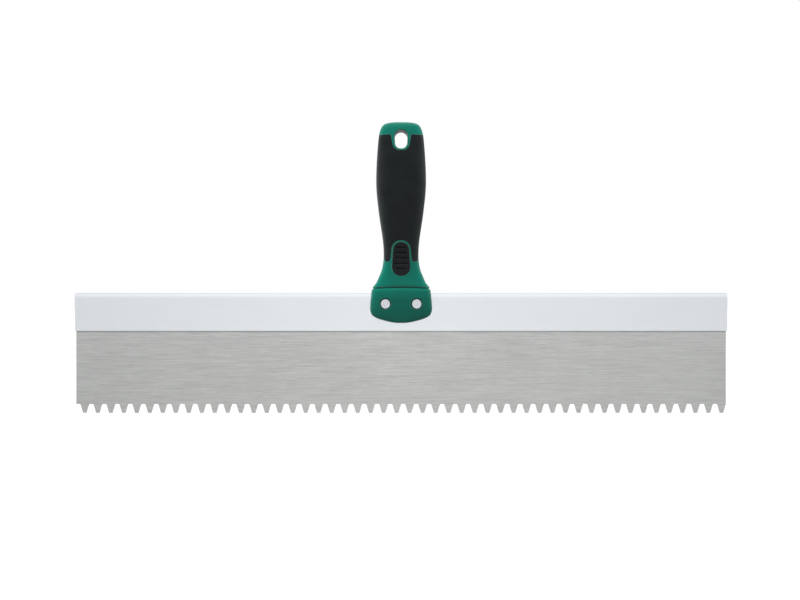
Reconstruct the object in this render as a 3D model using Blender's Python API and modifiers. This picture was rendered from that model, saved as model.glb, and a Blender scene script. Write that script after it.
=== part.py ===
"""Notched trowel: a toothed steel blade in an aluminium spine, held by a riveted two-shot handle.

Metres, +Z up the handle, +X along the blade, -Y out of the front. The origin is the middle of the
notched edge: the tooth tips are at z = 0 and the blade's mid-plane is at y = 0.
"""

import math

import bmesh
import bpy
from mathutils import Matrix, Vector

MM = 0.001
GAP = 0.3 * MM
MERGE = 0.001 * MM

# Blade: one sheet, toothed along its lower edge, its upper part inside the spine
BLADE_WIDTH = 600 * MM
BLADE_THICKNESS = 0.6 * MM
BLADE_TOP = 104 * MM
TOOTH_COUNT = 50
TOOTH_PITCH = 12 * MM
TOOTH_TIP = 3.1 * MM
TOOTH_FLANK = math.radians(17.6)
NOTCH_DEPTH = 8.2 * MM
NOTCH_FILLET = 1.4 * MM
FILLET_STEPS = 3
FIRST_TOOTH_INSET = 7.9 * MM

# Spine: a U-section of aluminium with a crowned top
SPINE_WIDTH = 601.6 * MM
SPINE_THICKNESS = 5.0 * MM
SPINE_BOTTOM = 75.7 * MM
SPINE_TOP = 110.8 * MM
SPINE_CROWN = 4.6 * MM
SPINE_LIP = 0.5 * MM
LIP_BREAK = 0.3
CROWN_STEPS = 16

# Rivets: two compression rivets, each a pin pressed into a barrel
RIVET_X = 14.35 * MM
RIVET_Z = 100.8 * MM
RIVET_HEAD_RADIUS = 4.4 * MM
RIVET_HEAD_THICKNESS = 1.8 * MM
RIVET_HEAD_FACE = 7.8 * MM
RIVET_HEAD_BREAK = 0.3 * MM
BARREL_RADIUS = 2.5 * MM
BARREL_REACH = 5.0 * MM
PIN_RADIUS = 1.2 * MM
PIN_REACH = 4.0 * MM
COUNTERBORE_RADIUS = 4.9 * MM

# Handle: rings from the bottom of the head to the crown, as
# (height, half width, half depth, squareness of the section), all lengths in millimetres
HEAD_RINGS = (
    (83.2, 6.0, 3.9, 2.6),
    (84.0, 11.0, 4.6, 2.8),
    (85.8, 18.0, 5.3, 3.1),
    (87.7, 23.2, 5.9, 3.4),
    (90.4, 27.0, 6.7, 3.6),
    (93.4, 28.3, 7.5, 3.7),
    (96.5, 28.65, 8.3, 3.8),
    (104.3, 28.1, 9.8, 3.9),
    (107.5, 27.75, 10.2, 4.0),
    (111.2, 27.4, 10.3, 4.0),
    (113.2, 27.1, 10.0, 4.0),
    (114.2, 26.35, 9.3, 4.0),
    (114.8, 25.7, 8.8, 4.0),
    (115.4, 25.7, 8.8, 4.0),
    (115.7, 26.5, 9.9, 4.0),
)
BODY_STATIONS = (
    (115.7, 26.5, 9.9, 4.0),
    (117.0, 25.4, 10.1, 4.0),
    (119.5, 23.25, 9.9, 3.8),
    (125.1, 20.65, 9.4, 3.5),
    (133.4, 17.5, 9.4, 3.1),
    (144.5, 16.1, 10.3, 2.8),
    (158.3, 16.8, 11.9, 2.7),
    (180.5, 20.05, 14.0, 2.7),
    (197.1, 22.05, 14.9, 2.7),
    (205.4, 22.75, 15.1, 2.7),
    (213.7, 23.05, 15.2, 2.7),
    (230.0, 22.6, 14.5, 2.7),
    (249.8, 21.2, 12.8, 2.8),
    (258.1, 20.05, 11.5, 2.9),
    (262.5, 18.6, 10.3, 2.9),
)
CROWN_RINGS = (
    (264.6, 17.35, 9.3, 2.9),
    (266.4, 15.3, 7.7, 2.8),
    (267.5, 12.3, 5.8, 2.7),
    (268.1, 8.8, 3.8, 2.6),
    (268.4, 4.5, 1.8, 2.5),
)
RING_POINTS = 32
BODY_RING_STEP = 6.2 * MM

# Overmoulded skin, let into the core
SKIN_THICKNESS = 2.2 * MM
PAD_PROUD = 0.4 * MM
POCKET_LOW = 122 * MM
POCKET_HIGH = 262 * MM

# Outlines seen from the front, right half: (x, z, corner radius) in millimetres
HOLE_HALF = ((5.2, 242.8, 5.1), (6.45, 260.3, 6.0))
COLLAR_HALF = ((7.0, 241.2, 6.6), (9.4, 255.8, 1.2))
SLEEVE_FLANK_HALF = ((40.0, 255.8, 0.0), (40.0, 145.5, 0.0), (16.3, 145.5, 0.6))
PRONG_HALF = ((15.0, 139.4, 2.8), (10.15, 139.4, 2.8), (7.85, 158.9, 8.2))
PAD_HALF = ((9.0, 126.6, 8.0), (6.85, 157.2, 6.9))
ARC_STEPS = 6

# Grooves across the thumb pads
GROOVE_TOP = 152.4 * MM
GROOVE_PITCH = 4.85 * MM
GROOVE_HEIGHT = 1.2 * MM
GROOVE_DEPTH = 0.8 * MM
GROOVE_LENGTHS = (9.3 * MM, 11.0 * MM, 11.9 * MM, 13.0 * MM, 10.6 * MM)
GROOVE_END_ROUNDING = 0.9

WELL_CLEAR = 40 * MM
TURN_STEPS = 32
PLANE_XZ = Matrix.Rotation(math.radians(90), 4, "X")
PLANE_YZ = Matrix.Rotation(math.radians(90), 4, "Z") @ Matrix.Rotation(math.radians(90), 4, "X")


def clear_scene():
    for item in list(bpy.data.objects):
        bpy.data.objects.remove(item, do_unlink=True)


def new_collection(name):
    collection = bpy.data.collections.new(name)
    bpy.context.scene.collection.children.link(collection)
    return collection


def material(name, colour, roughness, metallic=0.0):
    made = bpy.data.materials.new(name)
    made.use_nodes = True
    shader = made.node_tree.nodes["Principled BSDF"]
    shader.inputs["Base Color"].default_value = (*colour, 1.0)
    shader.inputs["Roughness"].default_value = roughness
    shader.inputs["Metallic"].default_value = metallic
    return made


# ---------------------------------------------------------------- outlines


def rounded(corners):
    """The closed outline through corners (x, z, radius) in millimetres, its corners turned to arcs."""
    outline = []
    for index, (x, z, radius) in enumerate(corners):
        corner = Vector((x, z))
        before = (Vector(corners[index - 1][:2]) - corner).normalized()
        after = (Vector(corners[(index + 1) % len(corners)][:2]) - corner).normalized()
        if radius == 0:
            outline.append(corner * MM)
            continue
        half_angle = before.angle(after) / 2
        centre = corner + (before + after).normalized() * radius / math.sin(half_angle)
        start = corner + before * radius / math.tan(half_angle) - centre
        end = corner + after * radius / math.tan(half_angle) - centre
        sweep = start.angle_signed(end)
        for step in range(ARC_STEPS + 1):
            turn = Matrix.Rotation(-sweep * step / ARC_STEPS, 2)
            outline.append((centre + turn @ start) * MM)
    return outline


def mirrored(half):
    """A half outline at +X, and its image at -X, as one closed loop of corners."""
    return list(half) + [(-x, z, radius) for x, z, radius in reversed(half)]


def grown(outline, distance):
    """The outline with each edge moved outwards by distance."""
    area = sum(a.cross(b) for a, b in zip(outline, outline[1:] + outline[:1]))
    outward = -1 if area > 0 else 1
    result = []
    for index, point in enumerate(outline):
        along = (point - outline[index - 1]).normalized()
        onward = (outline[(index + 1) % len(outline)] - point).normalized()
        normals = [Vector((-edge.y, edge.x)) * outward for edge in (along, onward)]
        middle = (normals[0] + normals[1]).normalized()
        result.append(point + middle * distance / middle.dot(normals[0]))
    return result


def notched_outline():
    """The blade's outline: along the teeth from left to right, then up and back along the top."""
    rise = math.tan(TOOTH_FLANK)
    half_root = TOOTH_TIP / 2 + NOTCH_DEPTH * rise
    turn = math.pi / 2 - TOOTH_FLANK
    reach = NOTCH_FILLET * math.tan(turn / 2)
    left, right = -BLADE_WIDTH / 2, BLADE_WIDTH / 2
    outline = [Vector((left, NOTCH_DEPTH))]
    for tooth in range(TOOTH_COUNT):
        middle = left + FIRST_TOOTH_INSET + tooth * TOOTH_PITCH
        flank = []
        for step in range(FILLET_STEPS + 1):
            angle = turn * step / FILLET_STEPS
            flank.append(Vector((
                half_root + reach - NOTCH_FILLET * math.sin(angle),
                NOTCH_DEPTH - NOTCH_FILLET * (1 - math.cos(angle)),
            )))
        flank.append(Vector((TOOTH_TIP / 2, 0)))
        outline += [Vector((middle - p.x, p.y)) for p in flank]
        if tooth < TOOTH_COUNT - 1:
            outline += [Vector((middle + p.x, p.y)) for p in reversed(flank)]
    last_tip = outline[-1].x + TOOTH_TIP
    outline.append(Vector((last_tip, 0)))
    outline.append(Vector((right, (right - last_tip) / rise)))
    outline += [Vector((right, BLADE_TOP)), Vector((left, BLADE_TOP))]
    return outline


def circle(x, z, radius, steps):
    angles = [2 * math.pi * step / steps for step in range(steps)]
    return [Vector((x + radius * math.cos(a), z + radius * math.sin(a))) for a in angles]


def spine_outline(clearance=0.0):
    """The outer outline of the spine's section as (y, z), open at the bottom, from +Y over the crown."""
    half = SPINE_THICKNESS / 2 + clearance
    crown_from = SPINE_TOP - SPINE_CROWN
    crown = SPINE_CROWN + clearance
    angles = [math.pi * step / CROWN_STEPS for step in range(CROWN_STEPS + 1)]
    return [Vector((half * math.cos(a), crown_from + crown * math.sin(a))) for a in angles]


def spine_section():
    """The whole section: the outer outline, rounded lips, and the slot that holds the blade."""
    half = SPINE_THICKNESS / 2
    slot = BLADE_THICKNESS / 2 + GAP
    lip = [
        Vector((half, SPINE_BOTTOM + SPINE_LIP)),
        Vector((half - SPINE_LIP * LIP_BREAK, SPINE_BOTTOM + SPINE_LIP * LIP_BREAK)),
        Vector((half - SPINE_LIP, SPINE_BOTTOM)),
        Vector((slot, SPINE_BOTTOM)),
        Vector((slot, BLADE_TOP + GAP)),
    ]
    left = [Vector((-p.x, p.y)) for p in lip]
    return spine_outline() + left + list(reversed(lip))


# ------------------------------------------------------------------ solids


class Workshop:
    """Makes solids in the parts collection and cutters in their own, hidden one."""

    def __init__(self):
        self.parts = new_collection("notched_trowel")
        self.cutters = new_collection("cutters")

    def add(self, name, mesh, cutter):
        item = bpy.data.objects.new(name, mesh)
        (self.cutters if cutter else self.parts).objects.link(item)
        if cutter:
            item.hide_render = True
            item.display_type = "WIRE"
        return item

    def extruded(self, name, outlines, low, high, plane, cutter=True):
        """A flat outline, with holes for any further outlines, drawn in a plane and given thickness."""
        curve = bpy.data.curves.new(name + "_outline", "CURVE")
        curve.dimensions = "2D"
        curve.fill_mode = "BOTH"
        curve.extrude = (high - low) / 2
        for outline in outlines:
            spline = curve.splines.new("POLY")
            spline.points.add(len(outline) - 1)
            spline.use_cyclic_u = True
            for point, at in zip(spline.points, outline):
                point.co = (at.x, at.y, 0, 1)
        sketch = bpy.data.objects.new(name + "_sketch", curve)
        bpy.context.scene.collection.objects.link(sketch)
        evaluated = sketch.evaluated_get(bpy.context.evaluated_depsgraph_get())
        mesh = bpy.data.meshes.new_from_object(evaluated)
        bpy.data.objects.remove(sketch)
        bpy.data.curves.remove(curve)
        shape = bmesh.new()
        shape.from_mesh(mesh)
        bmesh.ops.remove_doubles(shape, verts=shape.verts, dist=MERGE)
        bmesh.ops.transform(shape, matrix=plane, verts=shape.verts)
        across = plane.to_3x3() @ Vector((0, 0, 1))
        bmesh.ops.translate(shape, vec=across * (low + high) / 2 * sum(across), verts=shape.verts)
        bmesh.ops.recalc_face_normals(shape, faces=shape.faces)
        shape.to_mesh(mesh)
        shape.free()
        return self.add(name, mesh, cutter)

    def lofted(self, name, rings, growth=0.0, cutter=True):
        """A skin through superelliptic rings of (z, half width, half depth, squareness), capped flat."""
        shape = bmesh.new()
        loops = []
        for z, half_width, half_depth, squareness in rings:
            loop = []
            for step in range(RING_POINTS):
                angle = 2 * math.pi * step / RING_POINTS
                cosine, sine = math.cos(angle), math.sin(angle)
                x = math.copysign(abs(cosine) ** (2 / squareness), cosine) * (half_width + growth)
                y = math.copysign(abs(sine) ** (2 / squareness), sine) * (half_depth + growth)
                loop.append(shape.verts.new((x, y, z)))
            loops.append(loop)
        for lower, upper in zip(loops, loops[1:]):
            for step in range(RING_POINTS):
                after = (step + 1) % RING_POINTS
                shape.faces.new((lower[step], lower[after], upper[after], upper[step]))
        shape.faces.new(list(reversed(loops[0])))
        shape.faces.new(loops[-1])
        mesh = bpy.data.meshes.new(name)
        shape.to_mesh(mesh)
        shape.free()
        return self.add(name, mesh, cutter)

    def turned(self, name, profile, at, cutter=True):
        """A (radius, height) profile turned about an axis along Y, its height towards the front."""
        mesh = bpy.data.meshes.new(name)
        points = [(radius, 0, height) for radius, height in profile]
        mesh.from_pydata(points, [(i, i + 1) for i in range(len(points) - 1)], [])
        item = self.add(name, mesh, cutter)
        screw = item.modifiers.new("turn", "SCREW")
        screw.axis = "Z"
        screw.steps = screw.render_steps = TURN_STEPS
        screw.use_merge_vertices = True
        screw.merge_threshold = MERGE
        screw.use_smooth_shade = True
        item.location = at
        item.rotation_euler = (math.radians(90), 0, 0)
        return item

    def cylinder(self, name, radius, low, high, at):
        bpy.ops.mesh.primitive_cylinder_add(
            vertices=TURN_STEPS, radius=radius, depth=high - low,
            location=(at[0], (low + high) / 2, at[1]), rotation=(math.radians(90), 0, 0),
        )
        made = bpy.context.object
        item = self.add(name, made.data, cutter=True)
        item.matrix_world = made.matrix_world.copy()
        bpy.data.objects.remove(made)
        return item


def combine(item, operation, tool):
    step = item.modifiers.new(operation.lower() + "_" + tool.name, "BOOLEAN")
    step.operation = operation
    step.solver = "EXACT"
    step.object = tool


def smooth_round_faces(item, angle=35):
    item.data.shade_smooth()
    item.data.set_sharp_from_angle(angle=math.radians(angle))


# ------------------------------------------------------------- handle form


def between(stations, z):
    """The station values at height z, on a smooth curve through the stations."""
    index = max(i for i in range(len(stations) - 1) if stations[i][0] <= z)
    low, high = stations[index], stations[index + 1]
    before = stations[max(index - 1, 0)]
    after = stations[min(index + 2, len(stations) - 1)]
    span = high[0] - low[0]
    t = (z - low[0]) / span
    values = []
    for k in range(1, 4):
        slope_in = (high[k] - before[k]) / (high[0] - before[0]) * span
        slope_out = (after[k] - low[k]) / (after[0] - low[0]) * span
        values.append(
            (2 * t**3 - 3 * t**2 + 1) * low[k]
            + (t**3 - 2 * t**2 + t) * slope_in
            + (3 * t**2 - 2 * t**3) * high[k]
            + (t**3 - t**2) * slope_out
        )
    return values


def in_metres(rings):
    return [(z * MM, width * MM, depth * MM, squareness) for z, width, depth, squareness in rings]


BODY = in_metres(BODY_STATIONS)


def body_rings(low, high):
    """Evenly spaced rings of the handle's smooth body from low to high."""
    count = max(2, round((high - low) / BODY_RING_STEP))
    heights = [low + (high - low) * step / count for step in range(count + 1)]
    return [(z, *between(BODY, z)) for z in heights]


def whole_handle_rings():
    flare_top = BODY[3][0]
    flare = [BODY[1], BODY[2]]
    body = body_rings(flare_top, BODY[-1][0])
    return in_metres(HEAD_RINGS) + flare + body + in_metres(CROWN_RINGS)


# ------------------------------------------------------------------ pieces


def make_blade(shop, steel):
    holes = [circle(x, RIVET_Z, BARREL_RADIUS + GAP, TURN_STEPS) for x in (-RIVET_X, RIVET_X)]
    half = BLADE_THICKNESS / 2
    blade = shop.extruded("blade", [notched_outline(), *holes], -half, half, PLANE_XZ, cutter=False)
    blade.data.materials.append(steel)


def make_spine(shop, aluminium, rivet_bores):
    half = SPINE_WIDTH / 2
    spine = shop.extruded("spine_profile", [spine_section()], -half, half, PLANE_YZ, cutter=False)
    for bore in rivet_bores:
        combine(spine, "DIFFERENCE", bore)
    smooth_round_faces(spine)
    spine.data.materials.append(aluminium)


def make_core(shop, plastic, rivet_bores):
    """The stiff moulding: head, flare, collar and crown, with pockets for the soft skin."""
    core = shop.lofted("handle_core", whole_handle_rings(), cutter=False)
    slot = spine_outline(GAP) + [Vector((s * (SPINE_THICKNESS / 2 + GAP), 0)) for s in (-1, 1)]
    combine(core, "DIFFERENCE", shop.extruded("slot_cutter", [slot], -WELL_CLEAR, WELL_CLEAR, PLANE_YZ))
    for bore in rivet_bores:
        combine(core, "DIFFERENCE", bore)
    floor = RIVET_HEAD_FACE - RIVET_HEAD_THICKNESS - GAP
    for x in (-RIVET_X, RIVET_X):
        for name, low, high in (("front", -WELL_CLEAR, -floor), ("back", floor, WELL_CLEAR)):
            label = "counterbore_%s_%s" % ("left" if x < 0 else "right", name)
            combine(core, "DIFFERENCE", shop.cylinder(label, COUNTERBORE_RADIUS, low, high, (x, RIVET_Z)))
    under_skin = body_rings(POCKET_LOW, POCKET_HIGH)
    for name, outline in (("sleeve", sleeve_outline()), ("pads", pad_outline())):
        pocket = shop.extruded(
            name + "_pocket", [grown(outline, GAP)], -WELL_CLEAR, WELL_CLEAR, PLANE_XZ)
        floor_form = shop.lofted(name + "_pocket_floor", under_skin, -(SKIN_THICKNESS + GAP))
        combine(pocket, "DIFFERENCE", floor_form)
        combine(core, "DIFFERENCE", pocket)
    combine(core, "DIFFERENCE", hanging_hole(shop))
    smooth_round_faces(core)
    core.data.materials.append(plastic)


def hanging_hole(shop):
    return shop.extruded("hole_cutter", [rounded(mirrored(HOLE_HALF))], -WELL_CLEAR, WELL_CLEAR, PLANE_XZ)


def sleeve_outline():
    return rounded(mirrored(COLLAR_HALF + SLEEVE_FLANK_HALF + PRONG_HALF))


def pad_outline():
    return rounded(mirrored(PAD_HALF))


def make_sleeve(shop, rubber):
    sleeve = shop.lofted("grip_sleeve", body_rings(POCKET_LOW, POCKET_HIGH), cutter=False)
    combine(sleeve, "INTERSECT", shop.extruded(
        "sleeve_outline", [sleeve_outline()], -WELL_CLEAR, WELL_CLEAR, PLANE_XZ))
    combine(sleeve, "DIFFERENCE", shop.lofted(
        "sleeve_inside", body_rings(POCKET_LOW, POCKET_HIGH), -SKIN_THICKNESS))
    smooth_round_faces(sleeve)
    sleeve.data.materials.append(rubber)


def make_pad(shop, rubber, name, side):
    """A grooved thumb pad; side is -1 on the front and +1 on the back."""
    pad = shop.lofted(name, body_rings(POCKET_LOW, POCKET_HIGH), PAD_PROUD, cutter=False)
    low, high = sorted((0.0, side * WELL_CLEAR))
    combine(pad, "INTERSECT", shop.extruded(name + "_outline", [pad_outline()], low, high, PLANE_XZ))
    combine(pad, "DIFFERENCE", shop.lofted(
        name + "_inside", body_rings(POCKET_LOW, POCKET_HIGH), -SKIN_THICKNESS))
    for index, length in enumerate(GROOVE_LENGTHS):
        z = GROOVE_TOP - index * GROOVE_PITCH
        surface = between(BODY, z)[1] + PAD_PROUD
        ends = sorted((side * (surface - GROOVE_DEPTH), side * WELL_CLEAR))
        half_length, half_height = length / 2 / MM, GROOVE_HEIGHT / 2 / MM
        rounding = half_height * GROOVE_END_ROUNDING
        corners = [(half_length, z / MM + rise, rounding) for rise in (-half_height, half_height)]
        label = "%s_groove_%d" % (name, index + 1)
        groove = shop.extruded(label, [rounded(mirrored(corners))], *ends, PLANE_XZ)
        combine(pad, "DIFFERENCE", groove)
    smooth_round_faces(pad)
    pad.data.materials.append(rubber)


def head_profile():
    """The rim and top of a flat rivet head with its edge broken, from the axis outwards and down."""
    return [
        (0.0, RIVET_HEAD_FACE),
        (RIVET_HEAD_RADIUS - RIVET_HEAD_BREAK, RIVET_HEAD_FACE),
        (RIVET_HEAD_RADIUS, RIVET_HEAD_FACE - RIVET_HEAD_BREAK),
        (RIVET_HEAD_RADIUS, RIVET_HEAD_FACE - RIVET_HEAD_THICKNESS),
    ]


def make_rivet(shop, metal, side_name, x):
    """A barrel from the back and the pin pressed into it from the front."""
    under_head = RIVET_HEAD_FACE - RIVET_HEAD_THICKNESS
    pin = head_profile() + [(PIN_RADIUS, under_head), (PIN_RADIUS, -PIN_REACH), (0.0, -PIN_REACH)]
    bore = PIN_RADIUS + GAP
    bore_floor = PIN_REACH + GAP
    barrel = head_profile() + [
        (BARREL_RADIUS, under_head), (BARREL_RADIUS, -BARREL_REACH), (bore, -BARREL_REACH),
        (bore, bore_floor), (0.0, bore_floor),
    ]
    front = shop.turned("rivet_pin_" + side_name, pin, (x, 0, RIVET_Z), cutter=False)
    back = shop.turned("rivet_barrel_" + side_name, barrel, (x, 0, RIVET_Z), cutter=False)
    back.rotation_euler = (math.radians(-90), 0, 0)
    for item in (front, back):
        item.data.materials.append(metal)


def main():
    clear_scene()
    shop = Workshop()
    steel = material("brushed_stainless", (0.47, 0.47, 0.45), 0.34, 1.0)
    aluminium = material("anodised_aluminium", (0.76, 0.79, 0.82), 0.38, 1.0)
    plastic = material("green_polypropylene", (0.012, 0.13, 0.095), 0.42)
    rubber = material("black_elastomer", (0.014, 0.017, 0.019), 0.62)
    rivet_metal = material("rivet_aluminium", (0.6, 0.62, 0.64), 0.4, 1.0)
    rivet_bores = [
        shop.cylinder("rivet_bore_" + name, BARREL_RADIUS + GAP, -WELL_CLEAR, WELL_CLEAR, (x, RIVET_Z))
        for name, x in (("left", -RIVET_X), ("right", RIVET_X))
    ]
    make_blade(shop, steel)
    make_spine(shop, aluminium, rivet_bores)
    make_core(shop, plastic, rivet_bores)
    make_sleeve(shop, rubber)
    make_pad(shop, rubber, "thumb_pad_front", -1)
    make_pad(shop, rubber, "thumb_pad_back", 1)
    make_rivet(shop, rivet_metal, "left", -RIVET_X)
    make_rivet(shop, rivet_metal, "right", RIVET_X)


main()
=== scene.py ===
"""Notched trowel: the finished surface of a toothed steel blade, its aluminium spine and its handle.

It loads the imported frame, models each piece over its frame node with mesh operators, and gives
each piece a procedural material. Metres, +Z up the handle, +X along the blade, -Y out of the front.
"""

import math
from contextlib import contextmanager

import bmesh
import bpy
from bpy.props import FloatProperty, FloatVectorProperty, IntProperty, PointerProperty
from mathutils import Matrix, Vector


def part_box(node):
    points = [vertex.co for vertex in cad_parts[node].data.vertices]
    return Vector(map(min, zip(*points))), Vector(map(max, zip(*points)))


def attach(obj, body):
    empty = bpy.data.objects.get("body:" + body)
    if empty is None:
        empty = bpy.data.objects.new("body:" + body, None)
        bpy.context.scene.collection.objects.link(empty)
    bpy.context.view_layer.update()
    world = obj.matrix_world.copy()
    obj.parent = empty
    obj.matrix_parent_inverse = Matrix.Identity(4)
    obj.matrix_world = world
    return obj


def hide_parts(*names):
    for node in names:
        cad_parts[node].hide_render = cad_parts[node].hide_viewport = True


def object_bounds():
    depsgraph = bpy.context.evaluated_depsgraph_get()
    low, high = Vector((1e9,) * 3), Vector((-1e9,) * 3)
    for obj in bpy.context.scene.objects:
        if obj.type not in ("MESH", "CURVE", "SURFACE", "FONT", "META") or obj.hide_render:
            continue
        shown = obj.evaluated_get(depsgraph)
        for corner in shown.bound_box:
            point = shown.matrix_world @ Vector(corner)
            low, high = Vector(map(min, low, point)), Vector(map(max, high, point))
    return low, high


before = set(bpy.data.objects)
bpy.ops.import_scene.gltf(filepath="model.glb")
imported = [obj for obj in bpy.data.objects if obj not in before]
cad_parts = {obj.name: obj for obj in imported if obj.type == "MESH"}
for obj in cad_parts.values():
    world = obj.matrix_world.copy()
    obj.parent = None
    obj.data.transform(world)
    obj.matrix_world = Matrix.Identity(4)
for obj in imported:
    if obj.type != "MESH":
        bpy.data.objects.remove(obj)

bl_info = {
    "name": "Notched Trowel",
    "version": (1, 0, 0),
    "blender": (4, 5, 0),
    "location": "3D View > Sidebar > Trowel",
    "description": "Models a notched trowel, piece by piece, around its frame",
    "category": "Add Mesh",
}

MM = 0.001
CAD_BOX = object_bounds()
BLADE_LOW, BLADE_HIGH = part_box("blade")
SPINE_LOW, SPINE_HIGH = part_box("spine_profile")
PIN_LOW, PIN_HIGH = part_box("rivet_pin_right")
BARREL_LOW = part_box("rivet_barrel_right")[0]
BODY = "root"
WELL_CLEAR = 40 * MM
FORM_POINTS = 96
ROUND_POINTS = 64
NEARLY_WHOLE = 0.999
WELD = 0.002 * MM
BAR_WELD = 0.01 * MM
SHARP_ANGLE = math.radians(35)

# The core lies beneath the soft skin and the thumb pads between these heights
SKIN_LOW, SKIN_HIGH = 121 * MM, 262 * MM

# The groove over the head bows up most at its own height, and not at all past these distances
ARCH_HEIGHT = 115.3 * MM
ARCH_REACH = 7 * MM
ARCH_HALF_WIDTH = 26 * MM

# Each half of the hanging hole is cut this far past the handle's middle, so that the two meet
HOLE_OVERLAP = 0.5 * MM

# A cutter's rings are moved to follow the surface where they stand further than this above its floor
RING_MARGIN = 0.1 * MM

PAD_VOXEL = 0.28 * MM
PAD_SMOOTHING = 5
GROOVE_END_ROUNDING = 0.9

# Handle sections from the bottom of the head to the crown, as
# (height, half width, half depth, squareness), all lengths in millimetres
HEAD_STATIONS = (
    (83.2, 6.0, 3.9, 2.6),
    (84.0, 11.0, 4.6, 2.8),
    (85.8, 18.0, 5.3, 3.1),
    (87.7, 23.2, 5.9, 3.4),
    (90.4, 27.0, 6.7, 3.6),
    (93.4, 28.3, 7.5, 3.7),
    (96.5, 28.65, 8.3, 3.8),
    (104.3, 28.1, 9.8, 3.9),
    (107.5, 27.75, 10.2, 4.0),
    (111.2, 27.4, 10.3, 4.0),
    (113.2, 27.1, 10.0, 4.0),
    (114.2, 26.35, 9.3, 4.0),
    (114.8, 25.7, 8.8, 4.0),
)
GROOVE_STATIONS = ((115.4, 25.7, 8.8, 4.0),)
BODY_STATIONS = (
    (115.7, 26.5, 9.9, 4.0),
    (117.0, 25.4, 10.1, 4.0),
    (119.5, 23.25, 9.9, 3.8),
    (125.1, 20.65, 9.4, 3.5),
    (133.4, 17.5, 9.4, 3.1),
    (144.5, 16.1, 10.3, 2.8),
    (158.3, 16.8, 11.9, 2.7),
    (180.5, 20.05, 14.0, 2.7),
    (197.1, 22.05, 14.9, 2.7),
    (205.4, 22.75, 15.1, 2.7),
    (213.7, 23.05, 15.18, 2.7),
    (230.0, 22.6, 14.5, 2.7),
    (249.8, 21.2, 12.8, 2.8),
    (258.1, 20.05, 11.5, 2.9),
    (262.5, 18.6, 10.3, 2.9),
    (264.6, 17.35, 9.3, 2.9),
    (266.4, 15.3, 7.7, 2.8),
    (267.5, 12.3, 5.8, 2.7),
    (268.1, 8.8, 3.8, 2.6),
    (268.4, 4.5, 1.8, 2.5),
)

# Outlines seen from the front, right half: (x, z, corner radius) in millimetres
HOLE_HALF = ((5.2, 242.8, 5.1), (6.45, 260.3, 6.0))
COLLAR_HALF = ((7.0, 241.2, 6.6), (9.4, 255.8, 1.2))
SLEEVE_FLANK_HALF = ((40.0, 255.8, 0.0), (40.0, 145.5, 0.0), (16.3, 145.5, 0.6))
PRONG_HALF = ((15.0, 139.4, 2.8), (10.15, 139.4, 2.8), (7.85, 158.9, 8.2))
SLEEVE_HALF = COLLAR_HALF + SLEEVE_FLANK_HALF + PRONG_HALF
PAD_HALF = ((9.0, 126.6, 8.0), (6.85, 157.2, 6.9))
PAD_GROOVE_LENGTHS = (9.3 * MM, 11.0 * MM, 11.9 * MM, 13.0 * MM, 10.6 * MM)

# The floor lies this far under the lowest tooth, so that the two never share a plane
FLOOR_GAP = 0.1 * MM

# The stage's lights, in metres and radians. A fade runs out to both sides and the lift runs up, each
# as (from, to, level at from, level at to)
SOFTBOX_PLACE = (1.5, 0.15, 0.5)
SOFTBOX_SIZE = (1.0, 1.2)
SOFTBOX_AIM = (0, 0, 0.12)
SOFTBOX_TINT = (0.86, 1.0, 1.0)
SKY_TURN = (math.radians(30), 0, math.radians(-25))
SKY_SPREAD = math.radians(25)
FLOOR_FADE = (0.0, 0.45, 1.15, 0.6)
SURROUND_FADE = (0.0, 0.6, 1.14, 0.58)
SURROUND_LIFT = (0.1, 0.9, 1.0, 1.1)
SURROUND_TINT = (0.97, 0.985, 1.0, 1.0)


# ---------------------------------------------------------------- settings


def length(name, description, default):
    return FloatProperty(
        name=name, description=description, default=default, min=0.0,
        unit="LENGTH", subtype="DISTANCE", precision=5,
    )


def amount(name, description, default):
    return FloatProperty(name=name, description=description, default=default, min=0.0)


def colour(name, description, default):
    return FloatVectorProperty(
        name=name, description=description, default=default,
        size=3, min=0.0, max=1.0, subtype="COLOR",
    )


class TrowelBladeSettings(bpy.types.PropertyGroup):
    """Sizes and colours of the toothed blade"""

    teeth: IntProperty(name="Teeth", description="Number of teeth", default=50, min=2)
    pitch: length("Pitch", "From one tooth to the next", 12 * MM)
    tip: length("Tip", "Flat width of a tooth's tip", 3.1 * MM)
    depth: length("Notch depth", "Height of a tooth", 8.2 * MM)
    fillet: length("Root fillet", "Radius of a notch's inner corners", 1.4 * MM)
    inset: length("First tooth", "From the left edge to the first tooth's middle", 7.9 * MM)
    flank: FloatProperty(
        name="Flank", description="Lean of a tooth's flank", default=math.radians(17.6), subtype="ANGLE")
    edge_break: length("Edge break", "Chamfer on the sheared edges", 0.07 * MM)
    dark: colour("Dark grain", "Steel in the hollows of its grain", (0.465, 0.465, 0.453))
    light: colour("Light grain", "Steel on the ridges of its grain", (0.75, 0.75, 0.73))
    # Painted shade: the steel's colour darkens towards the teeth, where less light falls, rather than
    # being dulled by use.
    dull: colour("Dull steel", "Steel dulled by use towards the teeth", (0.3, 0.3, 0.29))
    # Painted shade: a dark strip on the steel just under the spine's lip stands in for the lip's shadow.
    stain: colour("Stain", "Steel along the joint under the spine", (0.16, 0.16, 0.15))
    worn: colour("Worn steel", "Steel on its worn edges", (0.8, 0.8, 0.78))


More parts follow.
